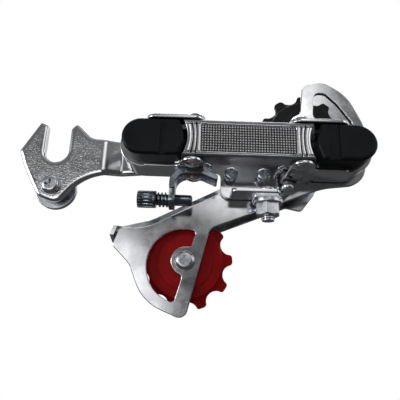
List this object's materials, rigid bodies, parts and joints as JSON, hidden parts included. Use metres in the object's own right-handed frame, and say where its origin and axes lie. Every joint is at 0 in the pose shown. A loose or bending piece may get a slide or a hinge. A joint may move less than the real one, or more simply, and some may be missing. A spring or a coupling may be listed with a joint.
{
  "type": "rear derailleur",
  "caption": "Rear derailleur on a claw hanger: parallelogram links between plated knuckles, sprung cage with guide and tension pulleys, limit screws, cable clamp and barrel adjuster.",
  "frame": {"origin": "axle centre in the claw's slot, on the inner face of the claw", "axes": "+X from the claw towards the cage pivot, +Y towards the wheel, +Z out of the slot's mouth"},
  "size_m": [0.1516, 0.0361, 0.109],
  "materials": {
    "plated_steel": "bright plating",
    "zinc_fasteners": "clear blue zinc plating",
    "plain_steel": "oiled steel",
    "black_plastic": "satin moulded plastic",
    "black_pulley": "moulded plastic",
    "red_pulley": "moulded plastic",
    "black_adjuster": "black finish on steel",
    "polished_alloy": "polished cast alloy"
  },
  "bodies": {
    "hanger": {"claw_hanger": "plated_steel", "claw_screw": "zinc_fasteners", "claw_nut": "zinc_fasteners", "hanger_pivot": "plain_steel", "hanger_pivot_clip": "plain_steel", "friction_washer": "plain_steel"},
    "bracket": {"bracket_shell": "plated_steel", "bracket_bush": "plain_steel", "bracket_cap": "black_plastic", "bracket_outer_pin": "plated_steel", "bracket_inner_pin": "plated_steel", "cable_arm": "black_adjuster", "adjuster_spring": "black_adjuster", "return_spring": "plain_steel"},
    "adjuster": {"barrel_adjuster": "black_adjuster"},
    "outer_link": {"outer_link": "polished_alloy"},
    "inner_link": {"inner_link": "plated_steel", "cable_bolt": "zinc_fasteners", "cable_clamp": "zinc_fasteners", "cable_washer": "zinc_fasteners", "cable_nut": "zinc_fasteners"},
    "limit_high": {"limit_screw_high": "zinc_fasteners"},
    "limit_low": {"limit_screw_low": "zinc_fasteners"},
    "knuckle": {"cage_knuckle": "plated_steel", "knuckle_cap": "black_plastic", "knuckle_outer_pin": "plated_steel", "knuckle_inner_pin": "plated_steel", "tension_spring": "plain_steel"},
    "cage": {"cage_axle": "plain_steel", "cage_axle_clip": "plain_steel", "cage_outer_plate": "plated_steel", "cage_inner_plate": "plated_steel", "stop_pin": "zinc_fasteners", "guide_bolt": "zinc_fasteners", "guide_bush": "plain_steel", "tension_bolt": "zinc_fasteners", "tension_bush": "plain_steel"},
    "guide_wheel": {"guide_pulley": "black_pulley"},
    "tension_wheel": {"tension_pulley": "red_pulley"}
  },
  "joints": [
    {"name": "hanger_swing", "type": "hinge", "parent": "hanger", "child": "bracket", "pos_m": [0.039, 0, 0], "axis": [0, -1, 0], "range_deg": [-15, 25]},
    {"name": "shift", "type": "hinge", "parent": "bracket", "child": "outer_link", "pos_m": [0.0595, -0.017, 0], "axis": [0, 0, 1], "range_deg": [0, 38], "stiffness_Nm_per_rad": 0.3, "springref_deg": -34.38},
    {"name": "inner_link_swing", "type": "hinge", "parent": "bracket", "child": "inner_link", "pos_m": [0.0595, -0.0065, 0], "axis": [0, 0, 1], "range_deg": [0, 38]},
    {"name": "knuckle_swing", "type": "hinge", "parent": "outer_link", "child": "knuckle", "pos_m": [0.102, -0.017, 0], "axis": [0, 0, 1], "range_deg": [-38, 0]},
    {"name": "cage_swing", "type": "hinge", "parent": "knuckle", "child": "cage", "pos_m": [0.1225, 0, 0], "axis": [0, -1, 0], "range_deg": [0, 100], "stiffness_Nm_per_rad": 0.2, "springref_deg": -57.3},
    {"name": "guide_spin", "type": "hinge", "parent": "cage", "child": "guide_wheel", "pos_m": [0.1093, 0.00625, 0.0152], "axis": [0, 1, 0], "continuous": true},
    {"name": "tension_spin", "type": "hinge", "parent": "cage", "child": "tension_wheel", "pos_m": [0.0573, 0.00625, -0.0454], "axis": [0, 1, 0], "continuous": true},
    {"name": "adjuster_turn", "type": "hinge", "parent": "bracket", "child": "adjuster", "pos_m": [0.0513, -0.008, -0.0223], "axis": [1, 0, 0], "continuous": true},
    {"name": "limit_high_turn", "type": "hinge", "parent": "inner_link", "child": "limit_high", "pos_m": [0.0752, -0.0026, -0.0096], "axis": [0, 1, 0], "continuous": true},
    {"name": "limit_low_turn", "type": "hinge", "parent": "inner_link", "child": "limit_low", "pos_m": [0.0888, -0.0026, -0.0096], "axis": [0, 1, 0], "continuous": true}
  ],
  "couplings": [
    {"joint": "inner_link_swing", "follows": "shift", "ratio": 1},
    {"joint": "knuckle_swing", "follows": "shift", "ratio": -1}
  ]
}
